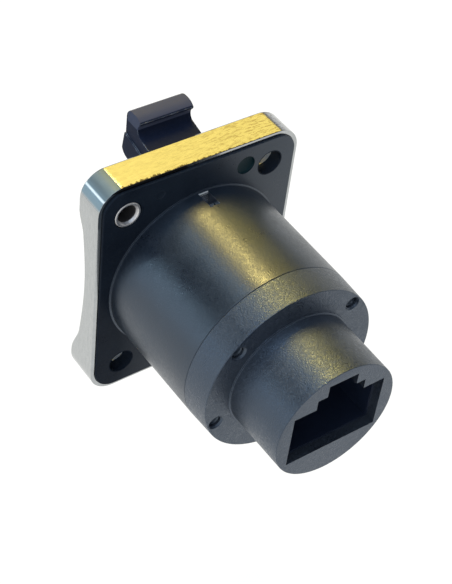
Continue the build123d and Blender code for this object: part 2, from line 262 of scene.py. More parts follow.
def makeGrainGroup():
    # fine spark-eroded grain of a moulded part, with broad cloudy patches and a few light scuffs
    group, output = newGroup("mouldedGrain", (
        ("Grain", "NodeSocketFloat"), ("Cloud", "NodeSocketFloat"), ("Scuff", "NodeSocketFloat"),
    ))
    place = objectPlace(group)
    fine = addMath(group, "MULTIPLY", addNoise(group, place, 5600, 2.0, 0.6), 0.6)
    coarse = addMath(group, "MULTIPLY", addNoise(group, place, 2300, 3.0, 0.6), 0.4)
    grain = addMath(group, "ADD", fine, coarse)
    cloud = addNoise(group, place, 190, 4.0, 0.62)
    sparse = addNoise(group, place, 620, 5.0, 0.7)
    scuff = addRange(group, sparse, 0.64, 0.74, 0.0, 1.0)
    group.links.new(grain, output.inputs["Grain"])
    group.links.new(cloud, output.inputs["Cloud"])
    group.links.new(scuff, output.inputs["Scuff"])
    return group


def makeBrushGroup():
    # fine lines left by brushing before plating, along X and on the sides along Z, with pits on top
    group, output = newGroup("brushedLines", (
        ("Lines", "NodeSocketFloat"), ("Patches", "NodeSocketFloat"), ("Pits", "NodeSocketFloat"),
    ))
    place = objectPlace(group)
    turn = splitAxes(group, facing(group))
    sideways = addRange(group, addMath(group, "ABSOLUTE", turn["X"], 0), 0.6, 0.8, 0.0, 1.0)
    alongX = addNoise(group, stretched(group, place, 260, 5200, 5200), 1.0, 4.0, 0.6)
    alongZ = addNoise(group, stretched(group, place, 5200, 5200, 260), 1.0, 4.0, 0.6)
    lines = addNode(group, "ShaderNodeMix", {"data_type": "FLOAT"}, {0: sideways, 2: alongX, 3: alongZ})
    patches = addNoise(group, stretched(group, place, 900, 2800, 900), 1.0, 4.0, 0.65)
    dashes = addNoise(group, stretched(group, place, 1300, 5200, 5200), 1.0, 4.0, 0.7)
    towardEnd = addRange(group, splitAxes(group, place)["X"], 6 * mm, -11 * mm, 0.16, 1.0)
    onTop = addRange(group, turn["Z"], 0.5, 0.9, 0.0, 1.0)
    pits = addMath(group, "MULTIPLY", towardEnd, onTop)
    pits = addMath(group, "MULTIPLY", addRange(group, dashes, 0.50, 0.58, 0.0, 1.0), pits)
    group.links.new(lines.outputs[0], output.inputs["Lines"])
    group.links.new(patches, output.inputs["Patches"])
    group.links.new(pits, output.inputs["Pits"])
    return group


def makeEdgeGroup():
    # picks out sharp outer edges for the line the materials paint there, a painted highlight on most
    # parts and a painted dark shade line on the cap, and breaks the line up
    group, output = newGroup("paintedEdgeLines", (("Edge", "NodeSocketFloat"),))
    soft = addNode(group, "ShaderNodeBevel", {"samples": 4}, {"Radius": 0.16 * mm}).outputs["Normal"]
    turned = addNode(group, "ShaderNodeVectorMath", {"operation": "DOT_PRODUCT"}, {
        0: soft, 1: facing(group),
    })
    patchy = addNoise(group, objectPlace(group), 900, 4.0, 0.6)
    broken = addRange(group, patchy, 0.42, 0.62, 0.15, 1.0)
    edge = addRange(group, turned.outputs["Value"], 0.985, 0.86, 0.0, 1.0)
    group.links.new(addMath(group, "MULTIPLY", edge, broken, True), output.inputs["Edge"])
    return group


def makeDarkEdgeGroup():
    # a ragged dark line along the rear edge of the top wall, and a dark band on the rear rim towards +X
    group, output = newGroup("darkRearEdge", (("DarkEdge", "NodeSocketFloat"),))
    place = objectPlace(group)
    axes = splitAxes(group, place)
    ragged = addNoise(group, stretched(group, place, 1900, 300, 300), 1.0, 5.0, 0.75)
    along = addRange(group, axes["X"], -9 * mm, 5 * mm, 0.25, 1.0)
    width = addMath(group, "MULTIPLY", addRange(group, ragged, 0.44, 0.60, 0.0, 0.34 * mm), along)
    inner = addMath(group, "ADD", addMath(group, "ADD", width, 0.34 * mm), axes["Y"])
    fromRear = addRange(group, inner, 0.0, 0.02 * mm, 0.0, 1.0)
    onTop = addRange(group, axes["Z"], 15.94 * mm, 16.0 * mm, 0.0, 1.0)
    shifted = addMath(group, "ADD", axes["X"], addRange(group, ragged, 0.3, 0.7, -2 * mm, 2 * mm))
    onRim = addMath(
        group, "MULTIPLY", addRange(group, axes["Z"], 15.5 * mm, 15.54 * mm, 0.0, 1.0),
        addRange(group, shifted, 0.5 * mm, 2.5 * mm, 0.0, 1.0),
    )
    darkEdge = addMath(group, "MULTIPLY", fromRear, addMath(group, "MAXIMUM", onTop, onRim), True)
    group.links.new(darkEdge, output.inputs["DarkEdge"])
    return group


grainGroup = makeGrainGroup()
darkEdgeGroup = makeDarkEdgeGroup()
brushGroup = makeBrushGroup()
paintedEdgeGroup = makeEdgeGroup()


print("stage: materials")


def startMaterial(name):
    material = bpy.data.materials.new(name)
    material.use_nodes = True
    tree = material.node_tree
    return material, tree, tree.nodes["Principled BSDF"]


def useGroup(tree, group):
    return addNode(tree, "ShaderNodeGroup", {"node_tree": group})


def mixColour(tree, share, first, second):
    node = addNode(tree, "ShaderNodeMix", {"data_type": "RGBA"})
    for socket, value in ((node.inputs[0], share), (node.inputs[6], first), (node.inputs[7], second)):
        if hasattr(value, "links"):
            tree.links.new(value, socket)
        else:
            socket.default_value = value
    return node.outputs[2]


def addVectorMath(tree, operation, first, second=(0, 0, 0)):
    node = addNode(tree, "ShaderNodeVectorMath", {"operation": operation}, {0: first, 1: second})
    return node


def addHoleMask(tree, x, z, radius):
    # 1 inside round holes at the four places (x, z) mirrored in both axes
    folded = addVectorMath(tree, "ABSOLUTE", objectPlace(tree)).outputs["Vector"]
    flat = addVectorMath(tree, "MULTIPLY", folded, (1, 0, 1)).outputs["Vector"]
    away = addVectorMath(tree, "DISTANCE", flat, (x * mm, 0, z * mm))
    return addRange(tree, away.outputs["Value"], (radius + 0.05) * mm, radius * mm, 0.0, 1.0)


def addBoxMask(tree, low, high):
    # 1 inside a box with soft sides
    middle = [(a + b) / 2 * mm for a, b in zip(low, high)]
    reach = [(b - a) / 2 * mm for a, b in zip(low, high)]
    moved = addVectorMath(tree, "SUBTRACT", objectPlace(tree), middle).outputs["Vector"]
    folded = addVectorMath(tree, "ABSOLUTE", moved).outputs["Vector"]
    room = splitAxes(tree, addVectorMath(tree, "SUBTRACT", reach, folded).outputs["Vector"])
    least = addMath(tree, "MINIMUM", room["X"], addMath(tree, "MINIMUM", room["Y"], room["Z"]))
    return addRange(tree, least, -0.02 * mm, 0.02 * mm, 0.0, 1.0)


def makePlastic(name, look):
    material, tree, shader = startMaterial(name)
    grain = useGroup(tree, grainGroup)
    edge = useGroup(tree, paintedEdgeGroup)
    share = addRange(tree, grain.outputs["Cloud"], 0.3, 0.7, 0.0, 1.0)
    body = mixColour(tree, share, look["dark"], look["light"])
    crests = addRange(tree, grain.outputs["Grain"], 0.52, 0.66, 0.0, 1.0)
    bright = addMath(tree, "MAXIMUM", grain.outputs["Scuff"], crests)
    scuffed = addMath(tree, "MULTIPLY", bright, look["scuff"])
    colour = mixColour(tree, scuffed, body, look["scuffColour"])
    # painted edge light: sharp edges get a painted highlight colour, on the cap a painted dark shade
    # line
    paintedEdgeShare = addMath(tree, "MULTIPLY", edge.outputs["Edge"], look["edge"])
    colour = mixColour(tree, paintedEdgeShare, colour, look["paintedEdgeColour"])
    # painted light in boxes: glints, reflections and lit bands painted in their own colours
    for low, high, paintedSpotColour in look.get("paintedLightSpots", ()):
        colour = mixColour(tree, addBoxMask(tree, low, high), colour, paintedSpotColour)
    tree.links.new(colour, shader.inputs["Base Color"])
    rough = addRange(tree, grain.outputs["Cloud"], 0.25, 0.75, *look["rough"])
    coarsest = look["roughGrain"]
    speck = addRange(tree, grain.outputs["Grain"], 0.38, 0.62, -0.4 * coarsest, coarsest)
    tree.links.new(addMath(tree, "ADD", rough, speck, True), shader.inputs["Roughness"])
    shader.inputs["Specular IOR Level"].default_value = look["gloss"]
    shader.inputs["Specular Tint"].default_value = look.get("tint", (1, 1, 1, 1))
    if "plateGloss" in look:
        axes = splitAxes(tree, objectPlace(tree))
        onPlate = addRange(tree, axes["Y"], 0.12 * mm, 0.06 * mm, 0.0, 1.0)
        across = addRange(tree, axes["X"], 10 * mm, -13 * mm, *look["plateGloss"])
        blend = addNode(tree, "ShaderNodeMix", {"data_type": "FLOAT"}, {
            0: onPlate, 2: look["gloss"], 3: across,
        })
        inHole = addRange(tree, addHoleMask(tree, *look["holes"]), 0.0, 1.0, 1.0, 0.05)
        gloss = addMath(tree, "MULTIPLY", blend.outputs[0], inHole)
        for low, high in look["dull"]:
            shut = addRange(tree, addBoxMask(tree, low, high), 0.0, 1.0, 1.0, 0.15)
            gloss = addMath(tree, "MULTIPLY", gloss, shut)
        tree.links.new(gloss, shader.inputs["Specular IOR Level"])
    bump = addNode(tree, "ShaderNodeBump", inputs={
        "Height": grain.outputs["Grain"], "Strength": look["bump"], "Distance": look["grainDepth"] * mm,
    })
    tree.links.new(bump.outputs["Normal"], shader.inputs["Normal"])
    return material


def makeMetal(name, look):
    material, tree, shader = startMaterial(name)
    brush = useGroup(tree, brushGroup)
    patches = addRange(tree, brush.outputs["Patches"], 0.3, 0.7, 0.0, 1.0)
    colour = mixColour(tree, patches, look["dark"], look["light"])
    pits = addMath(tree, "MULTIPLY", brush.outputs["Pits"], look["pits"])
    colour = mixColour(tree, pits, colour, look["pitColour"])
    rough = addRange(tree, brush.outputs["Lines"], 0.3, 0.7, *look["rough"])
    if "darkEdge" in look:
        darkEdge = addMath(tree, "MULTIPLY", useGroup(tree, darkEdgeGroup).outputs["DarkEdge"], look["darkEdge"])
        colour = mixColour(tree, darkEdge, colour, look["darkEdgeColour"])
    if "cornerReflectionColour" in look:
        # painted reflection: the rounded upper corner is painted blue-green, with a painted highlight
        # line along it
        turn = splitAxes(tree, facing(tree))
        fromSide = addRange(tree, turn["Z"], 0.24, 0.36, 0.0, 1.0)
        fromTop = addRange(tree, turn["X"], 0.11, 0.14, 0.0, 1.0)
        turned = addMath(tree, "MULTIPLY", fromSide, fromTop)
        fromLine = addMath(tree, "SUBTRACT", turn["Z"], look["cornerLine"])
        fromLine = addMath(tree, "ABSOLUTE", fromLine, 0)
        line = addMath(tree, "MULTIPLY", addRange(tree, fromLine, 0.05, 0.015, 0.0, 1.0), turned)
        fromCrest = addRange(tree, turn["X"], 0.10, 0.50, 0.0, 1.0)
        corner = mixColour(tree, fromCrest, look["crestReflectionColour"], look["cornerReflectionColour"])
        colour = mixColour(tree, addMath(tree, "MULTIPLY", turned, look["corner"]), colour, corner)
        colour = mixColour(tree, line, colour, look["lineHighlightColour"])
        rough = addMath(tree, "ADD", rough, addMath(tree, "MULTIPLY", turned, 0.34), True)
    if "holes" in look:
        # inside the round holes the colour is swapped and the metal made rougher: a painted shade in
        # the rivet bores, a paler matt wall in the shell's screw holes
        hole = addHoleMask(tree, *look["holes"])
        colour = mixColour(tree, hole, colour, look["holeColour"])
        rough = addMath(tree, "ADD", rough, addMath(tree, "MULTIPLY", hole, 0.4), True)
    tree.links.new(colour, shader.inputs["Base Color"])
    shader.inputs["Metallic"].default_value = 1.0
    tree.links.new(rough, shader.inputs["Roughness"])
    bump = addNode(tree, "ShaderNodeBump", inputs={
        "Height": brush.outputs["Lines"], "Strength": look["bump"], "Distance": 0.01 * mm,
    })
    tree.links.new(bump.outputs["Normal"], shader.inputs["Normal"])
    return material


blackHousing = makePlastic("blackHousing", {
    "dark": (0.0125, 0.0175, 0.027, 1), "light": (0.020, 0.028, 0.040, 1), "scuff": 0.25,
    "scuffColour": (0.05, 0.058, 0.07, 1), "edge": 0.3, "paintedEdgeColour": (0.07, 0.08, 0.095, 1),
    "rough": (0.26, 0.40), "roughGrain": 0.09, "gloss": 0.82, "bump": 0.8, "grainDepth": 0.03,
    "tint": (0.70, 0.84, 1.0, 1), "plateGloss": (0.04, 0.65), "holes": (9.5, 12.0, 1.7),
    "dull": (((-0.7, 0.34, 8), (0.7, 2.8, 11.47)), ((-7.3, -1, 11.7), (-4.7, -0.03, 14.3))),
    "paintedLightSpots": (
        # a painted glint along the near edge of the slot
        ((-0.64, 0.32, 11.34), (0.66, 0.38, 11.64), (0.9, 0.9, 0.86, 1)),
        # a painted dark blue-green in the dimple, for how its dish takes the light; its gloss is turned
        # down by the second dull box
        ((-7.3, -1, 11.7), (-4.7, -0.03, 14.3), (0.010, 0.030, 0.034, 1)),
    ),
})
blackCap = makePlastic("blackCap", {
    "dark": (0.020, 0.025, 0.034, 1), "light": (0.040, 0.046, 0.056, 1), "scuff": 0.5,
    "scuffColour": (0.085, 0.10, 0.12, 1), "edge": 0.7, "paintedEdgeColour": (0.008, 0.01, 0.014, 1),
    "rough": (0.28, 0.42), "roughGrain": 0.18, "gloss": 1.0, "bump": 1.0, "grainDepth": 0.07,
    "tint": (0.58, 0.76, 1.0, 1),
})
blackLever = makePlastic("blackLever", {
    "dark": (0.010, 0.015, 0.033, 1), "light": (0.017, 0.023, 0.046, 1), "scuff": 0.2,
    "scuffColour": (0.06, 0.06, 0.07, 1), "edge": 1.0, "paintedEdgeColour": (0.46, 0.50, 0.54, 1),
    "rough": (0.50, 0.62), "roughGrain": 0.08, "gloss": 0.09, "bump": 0.5, "grainDepth": 0.03,
    "tint": (0.6, 0.68, 1.0, 1),
    # a painted light violet-grey band on the top of the head, where light falls on it
    "paintedLightSpots": (((-5, -10.45, 15.75), (5, -8, 17.5), (0.080, 0.090, 0.135, 1)),),
})
blackInsert = makePlastic("blackInsert", {
    "dark": (0.010, 0.016, 0.034, 1), "light": (0.014, 0.022, 0.045, 1), "scuff": 0.1,
    "scuffColour": (0.03, 0.033, 0.038, 1), "edge": 0.4, "paintedEdgeColour": (0.05, 0.055, 0.065, 1),
    "rough": (0.4, 0.5), "roughGrain": 0.05, "gloss": 0.4, "bump": 0.3, "grainDepth": 0.02,
})
combPlastic = makePlastic("combPlastic", {
    "dark": (0.03, 0.03, 0.032, 1), "light": (0.045, 0.046, 0.05, 1), "scuff": 0.1,
    "scuffColour": (0.08, 0.08, 0.085, 1), "edge": 0.3, "paintedEdgeColour": (0.1, 0.1, 0.11, 1),
    "rough": (0.45, 0.55), "roughGrain": 0.05, "gloss": 0.45, "bump": 0.3, "grainDepth": 0.02,
})
boardResin = makePlastic("boardResin", {
    "dark": (0.012, 0.075, 0.028, 1), "light": (0.018, 0.1, 0.036, 1), "scuff": 0.08,
    "scuffColour": (0.1, 0.16, 0.1, 1), "edge": 0.4, "paintedEdgeColour": (0.26, 0.27, 0.17, 1),
    "rough": (0.28, 0.36), "roughGrain": 0.03, "gloss": 0.5, "bump": 0.15, "grainDepth": 0.02,
})
satinNickel = makeMetal("satinNickel", {
    "dark": (0.40, 0.415, 0.415, 1), "light": (0.46, 0.475, 0.475, 1), "pits": 0.66,
    "corner": 0.97, "crestReflectionColour": (0.035, 0.072, 0.17, 1), "cornerReflectionColour": (0.24, 0.32, 0.36, 1),
    "cornerLine": 0.62, "lineHighlightColour": (0.9, 0.97, 1.0, 1),
    "pitColour": (0.16, 0.12, 0.09, 1), "rough": (0.13, 0.19), "bump": 0.35,
    "darkEdge": 0.9, "darkEdgeColour": (0.06, 0.05, 0.045, 1),
    "holes": (9.5, 12.0, 1.75), "holeColour": (0.52, 0.55, 0.58, 1),
})
rivetPlating = makeMetal("rivetPlating", {
    "dark": (0.60, 0.59, 0.58, 1), "light": (0.74, 0.73, 0.72, 1), "pits": 0.25,
    "pitColour": (0.3, 0.28, 0.26, 1), "rough": (0.42, 0.52), "bump": 0.2,
    "holes": (9.8, 12.0, 1.16), "holeColour": (0.07, 0.068, 0.07, 1),
})
springSteel = makeMetal("springSteel", {
    "dark": (0.56, 0.57, 0.58, 1), "light": (0.72, 0.73, 0.74, 1), "pits": 0.2,
    "pitColour": (0.3, 0.3, 0.3, 1), "rough": (0.16, 0.26), "bump": 0.2,
})
goldPlate = makeMetal("goldPlate", {
    "dark": (0.74, 0.50, 0.17, 1), "light": (0.86, 0.62, 0.24, 1), "pits": 0.2,
    "pitColour": (0.42, 0.26, 0.09, 1), "rough": (0.18, 0.28), "bump": 0.2,
})


print("stage: modelling helpers")


def activate(piece):
    bpy.ops.object.select_all(action="DESELECT")
    piece.select_set(True)
    bpy.context.view_layer.objects.active = piece


def openMesh(piece, kind="VERT"):
    activate(piece)
    bpy.ops.object.mode_set(mode="EDIT")
    bpy.ops.mesh.select_mode(type=kind)
    bpy.ops.mesh.select_all(action="DESELECT")


def closeMesh():
    bpy.ops.object.mode_set(mode="OBJECT")


def startPiece(name, build):
    mesh = bpy.data.meshes.new(name)
    build.to_mesh(mesh)
    build.free()
    piece = bpy.data.objects.new(name, mesh)
    bpy.context.scene.collection.objects.link(piece)
    return piece


def turnProfile(name, points, steps=168, x=0.0, z=0.0):
    # points are (radius, depth) round a line along Y
    build = bmesh.new()
    ring = [build.verts.new(((x + radius) * mm, depth * mm, z * mm)) for radius, depth in points]
    for number, vert in enumerate(ring):
        following = (number + 1) % len(ring)
        if points[number][0] > 0 or points[following][0] > 0:
            build.edges.new((vert, ring[following]))
    piece = startPiece(name, build)
    openMesh(piece)
    bpy.ops.mesh.select_all(action="SELECT")
    bpy.ops.mesh.spin(steps=steps, angle=math.tau, center=(x * mm, 0, z * mm), axis=(0, 1, 0))
    bpy.ops.mesh.select_all(action="SELECT")
    bpy.ops.mesh.remove_doubles(threshold=0.0004 * mm)
    bpy.ops.mesh.normals_make_consistent(inside=False)
    closeMesh()
    return piece


def roundedProfile(corners, steps=3):
    # corners are (radius, depth, rounding); each rounding becomes a short arc of points
    points = []
    for number, (radius, depth, rounding) in enumerate(corners):
        here = Vector((radius, depth))
        if rounding == 0:
            points.append(tuple(here))
            continue
        before = Vector(corners[number - 1][:2])
        after = Vector(corners[(number + 1) % len(corners)][:2])
        first = here + (before - here).normalized() * rounding
        last = here + (after - here).normalized() * rounding
        for step in range(steps + 1):
            share = step / steps
            points.append(tuple(first.lerp(here, share).lerp(here.lerp(last, share), share)))
    return points


def addPin(name, radius, front, rear, x=0.0, z=0.0, steps=48):
    return turnProfile(name, [(0, front), (radius, front), (radius, rear), (0, rear)], steps, x, z)


def addBlock(name, low, high):
    bpy.ops.object.select_all(action="DESELECT")
    bpy.ops.mesh.primitive_cube_add(size=1, location=[(a + b) / 2 * mm for a, b in zip(low, high)])
    piece = bpy.context.object
    piece.name = name
    piece.scale = [(b - a) * mm for a, b in zip(low, high)]
    bpy.ops.object.transform_apply(location=True, rotation=True, scale=True)
    return piece


def addSlab(name, outline, along, low, high):
    # outline is drawn square to the axis "along", then drawn out from low to high
    build = bmesh.new()
    if along == "x":
        ring = [build.verts.new((low * mm, a * mm, b * mm)) for a, b in outline]
        way = ((high - low) * mm, 0, 0)
    else:
        ring = [build.verts.new((a * mm, low * mm, b * mm)) for a, b in outline]
        way = (0, (high - low) * mm, 0)
    build.faces.new(ring)
    piece = startPiece(name, build)
    openMesh(piece, "FACE")
    bpy.ops.mesh.select_all(action="SELECT")
    bpy.ops.mesh.extrude_region_move(TRANSFORM_OT_translate={"value": way})
    bpy.ops.mesh.select_all(action="SELECT")
    bpy.ops.mesh.normals_make_consistent(inside=False)
    closeMesh()
    return piece


def combine(piece, other, operation):
    change = piece.modifiers.new(operation.lower(), "BOOLEAN")
    change.operation = operation
    change.solver = "MANIFOLD"
    change.object = other
    activate(piece)
    bpy.ops.object.modifier_apply(modifier=change.name)
    bpy.data.objects.remove(other, do_unlink=True)


def cutAway(piece, *cutters):
    for cutter in cutters:
        combine(piece, cutter, "DIFFERENCE")


def joinTo(piece, *others):
    for other in others:
        combine(piece, other, "UNION")


def softenEdges(piece, width, segments=2, angle=32):
    soft = piece.modifiers.new("softEdges", "BEVEL")
    soft.width = width * mm
    soft.segments = segments
    soft.limit_method = "ANGLE"
    soft.angle_limit = math.radians(angle)
    soft.use_clamp_overlap = False
    soft.miter_outer = "MITER_ARC"
    activate(piece)
    bpy.ops.object.modifier_apply(modifier=soft.name)


def smoothPiece(piece, angle=28):
    # smooth shading in which the large faces stay flat beside their rounded edges
    activate(piece)
    bpy.ops.object.shade_smooth_by_angle(angle=math.radians(angle))
    even = piece.modifiers.new("evenNormals", "WEIGHTED_NORMAL")
    even.keep_sharp = True
    even.weight = 80
    bpy.ops.object.modifier_apply(modifier=even.name)


def roundUprightCorners(piece, radius, steps):
    # rounds the edges that run along Y
    openMesh(piece, "EDGE")
    build = bmesh.from_edit_mesh(piece.data)
    for edge in build.edges:
        run = edge.verts[0].co - edge.verts[1].co
        edge.select = abs(run.y) > 10 * max(abs(run.x), abs(run.z))
    bmesh.update_edit_mesh(piece.data)
    bpy.ops.mesh.bevel(offset=radius * mm, segments=steps, affect="EDGES")
    closeMesh()


def bevelEdgesAt(piece, depth, width, steps):
    # rounds the outer edges that lie on one plane square to Y
    openMesh(piece, "EDGE")
    build = bmesh.from_edit_mesh(piece.data)
    for edge in build.edges:
        flat = all(abs(vert.co.y - depth * mm) < 0.001 * mm for vert in edge.verts)
        edge.select = flat and edge.calc_face_angle(0) > math.radians(45)
    bmesh.update_edit_mesh(piece.data)
    bpy.ops.mesh.bevel(offset=width * mm, segments=steps, affect="EDGES")
    closeMesh()


def dress(piece, material, slotName, body, *stoodFor):
    piece.data.materials.clear()
    piece.data.materials.append(material)
    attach(piece, body)
    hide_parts(*stoodFor)
    print("piece:", piece.name, len(piece.data.polygons), "faces")


print("stage: front shell")
shell = {
    "width": 27.1,
    "height": 32.1,
    "corner": 3.25,
    "back": -0.3,
    "frontRound": 0.3,
    "stripLow": -12.5,
    "stripHigh": 12.2,
    "strip": 0.604,
    "rearRound": 0.06,
    "frontLine": (
        (-16.1, 5.2), (-12.4, 5.2), (-7.4, 3.57), (1.3, 2.77), (8.3, 3.42), (11.2, 4.4), (16.1, 4.4),
    ),
    "plateWidth": 26.1,
    "plateHeight": 31.1,
    "plateCorner": 2.75,
    "plateDepth": -1.8,
    "channel": 9.5,
    "boreLead": 0.4,
    "collarInner": 8.5,
    "collarFront": 10.9,
    "collarRoot": 11.5,
    "collarBack": -1.9,
    "collarFace": -5.2,
    "collarRound": 0.35,
    "notchHalf": 4.1,
    "notchTop": 15.15,
    "screw": 1.6,
    "sink": 2.9,
    "sinkDepth": 1.3,
    "rivetHole": 1.35,
    "rivetSink": 2.35,
    "rivetSinkDepth": 1.0,
}
screwPlaces = ((-9.5, 12.0), (9.5, -12.0))
rivetPlaces = ((9.8, 12.0), (-9.8, -12.0))


def frontDepth(height):
    # smooth line through the measured depths, level at both lips
    knots = shell["frontLine"]
    slopes = [0.0]
    for number in range(1, len(knots) - 1):
        (low, lowDepth), (here, hereDepth), (high, highDepth) = knots[number - 1:number + 2]
        fall = (hereDepth - lowDepth) / (here - low)
        rise = (highDepth - hereDepth) / (high - here)
        slopes.append(0.0 if fall * rise <= 0 else 2 * fall * rise / (fall + rise))
    slopes.append(0.0)
    for number in range(len(knots) - 1):
        low, high = knots[number], knots[number + 1]
        if height <= high[0]:
            break
    span = high[0] - low[0]
    share = min(max((height - low[0]) / span, 0), 1)
    cube, square = share ** 3, share ** 2
    return (
        (2 * cube - 3 * square + 1) * low[1]
        + (cube - 2 * square + share) * span * slopes[number]
        + (3 * square - 2 * cube) * high[1]
        + (cube - square) * span * slopes[number + 1]
    )


def makeShell():
    halfWidth, halfHeight = shell["width"] / 2, shell["height"] / 2
    piece = addBlock("shellBody", (-halfWidth, -3, -halfHeight), (halfWidth, shell["back"], halfHeight))
    roundUprightCorners(piece, shell["corner"], 12)
    openMesh(piece)
    level = shell["stripLow"]
    while level < shell["stripHigh"]:
        bpy.ops.mesh.select_all(action="SELECT")
        bpy.ops.mesh.bisect(plane_co=(0, 0, level * mm), plane_no=(0, 0, 1))
        level += shell["strip"]
    closeMesh()
    for vert in piece.data.vertices:
        if vert.co.y < -2 * mm:
            vert.co.y = -frontDepth(vert.co.z / mm) * mm
    openMesh(piece, "EDGE")
    build = bmesh.from_edit_mesh(piece.data)
    for edge in build.edges:
        front = all(vert.co.y < -2 * mm for vert in edge.verts)
        edge.select = front and edge.calc_face_angle(0) > math.radians(50)
    bmesh.update_edit_mesh(piece.data)
    bpy.ops.mesh.bevel(offset=shell["frontRound"] * mm, segments=4, affect="EDGES")
    closeMesh()
    bevelEdgesAt(piece, shell["back"], shell["rearRound"], 2)
    collar = turnProfile("collar", roundedProfile([
        (shell["collarInner"], shell["collarBack"], 0), (shell["collarRoot"], shell["collarBack"], 0),
        (shell["collarFront"], shell["collarFace"], shell["collarRound"]),
        (shell["collarInner"], shell["collarFace"], 0),
    ]))
    joinTo(piece, collar)
    pocket = addBlock(
        "pocket", (-shell["plateWidth"] / 2, shell["plateDepth"], -shell["plateHeight"] / 2),
        (shell["plateWidth"] / 2, 1, shell["plateHeight"] / 2),
    )
    roundUprightCorners(pocket, shell["plateCorner"], 10)
    mouth, channel, lead = shell["collarFace"], shell["channel"], shell["boreLead"]
    bore = turnProfile("bore", [
        (0, -8), (channel + lead, -8), (channel + lead, mouth), (channel, mouth + lead),
        (channel, 1), (0, 1),
    ])
    notch = addBlock(
        "notch", (-shell["notchHalf"], -8, 8.5), (shell["notchHalf"], 1, shell["notchTop"])
    )
    cutAway(piece, pocket, bore, notch)
    for places, hole, sink, sinkDepth in (
        (screwPlaces, shell["screw"], shell["sink"], shell["sinkDepth"]),
        (rivetPlaces, shell["rivetHole"], shell["rivetSink"], shell["rivetSinkDepth"]),
    ):
        for x, z in places:
            face = -frontDepth(z)
            cutAway(piece, turnProfile("sunkHole", [
                (0, -8), (sink, -8), (sink, face), (hole, face + sinkDepth), (hole, 1), (0, 1),
            ], 64, x, z))
    smoothPiece(piece, 30)
    return piece


print("stage: rear housing")
housing = {
    "width": 26.0,
    "height": 31.0,
    "corner": 2.7,
    "thick": 1.8,
    "rearRound": 0.12,
    "rootRadius": 11.58,
    "endRadius": 11.46,
    "length": 15.5,
    "channel": 9.5,
    "channelEnd": 8.0,
    "ledge": 8.4,
    "ledgeEnd": 9.0,
    "stackBore": 8.95,
    "rootRing": 11.8,
    "dimple": (-6.0, 12.97, 1.23, 0.40),
    "pinMark": (5.64, 13.27, 0.6, 0.1),
    "rimSeat": 1.78,
    "rimSeatDepth": 0.34,
    "postCircle": 10.2,
    "postRadius": 0.7,
    "postEnd": 18.85,
    "postAngles": (41.0, 139.0, -20.0, 200.0),
    "bossRoom": 1.65,
    "grooveHalf": 2.3,
    "grooveEnd": 7.6,
    "grooveRoof": 10.75,
    "slotHalf": 0.65,
    "slotStart": 0.35,
    "slotEnd": 2.75,
}
leverPin = (-2.75, 12.7)


def postPlaces():
    turns = [math.radians(angle) for angle in housing["postAngles"]]
    circle = housing["postCircle"]
    return [(circle * math.cos(turn), circle * math.sin(turn)) for turn in turns]


def makeHousing():
    halfWidth, halfHeight = housing["width"] / 2, housing["height"] / 2
    piece = addBlock(
        "housingBody", (-halfWidth, -housing["thick"], -halfHeight), (halfWidth, 0, halfHeight)
    )
    roundUprightCorners(piece, housing["corner"], 10)
    bevelEdgesAt(piece, 0, housing["rearRound"], 3)
    barrel = turnProfile("barrel", roundedProfile([
        (7.0, -1.2, 0), (housing["rootRadius"] - 0.3, -1.2, 0), (housing["rootRing"], -0.1, 0),
        (housing["rootRing"], 0.12, 0.05), (housing["rootRadius"], 0.14, 0.05),
        (housing["endRadius"], housing["length"], 0.12), (housing["stackBore"], housing["length"], 0.1),
        (housing["stackBore"], housing["ledgeEnd"], 0), (housing["ledge"], housing["ledgeEnd"], 0),
        (housing["ledge"], housing["channelEnd"], 0), (7.0, housing["channelEnd"], 0),
    ]))
    joinTo(piece, barrel)
    cutAway(piece, addPin("channel", housing["channel"], -4, housing["channelEnd"], steps=168))
    cutAway(piece, addPin("ledgeHole", housing["ledge"], -4, housing["ledgeEnd"] + 1, steps=168))
    room, notch = housing["bossRoom"], shell["notchHalf"]
    bossEnd, bossTop = leverPin[0] + room, leverPin[1] + room
    groove, slot = housing["grooveHalf"], housing["slotHalf"]
    cutAway(
        piece,
        addBlock("bossRoom", (-notch, -4, 8.5), (notch, bossEnd, bossTop)),
        addBlock("groove", (-groove, -4, 8.5), (groove, housing["grooveEnd"], housing["grooveRoof"])),
        addBlock("slot", (-slot, housing["slotStart"], 8.5), (slot, housing["slotEnd"], 13)),
    )
    for x, z in screwPlaces:
        cutAway(piece, addPin("screwHole", shell["screw"], -4, 1, x, z, 64))
    hole, seat, seatDepth = shell["rivetHole"], housing["rimSeat"], -housing["rimSeatDepth"]
    for x, z in rivetPlaces:
        cutAway(piece, turnProfile("rivetHole", [
            (0, -4), (hole, -4), (hole, seatDepth), (seat, seatDepth), (seat, 1), (0, 1),
        ], 64, x, z))
    for x, z, radius, depth in (housing["dimple"], housing["pinMark"]):
        cutAway(piece, turnProfile("dish", [
            (0, -depth), (radius * 0.6, -depth * 0.92), (radius * 0.9, -depth * 0.7),
            (radius, -depth * 0.35), (radius + 0.03, 1), (0, 1),
        ], 48, x, z))
    for x, z in postPlaces():
        joinTo(piece, turnProfile("post", [
            (0, 14.6), (housing["postRadius"], 14.6), (housing["postRadius"], housing["postEnd"]),
            (housing["postRadius"] * 0.8, housing["postEnd"] - 0.12), (0, housing["postEnd"] - 0.2),
        ], 32, x, z))
    smoothPiece(piece, 30)
    return piece


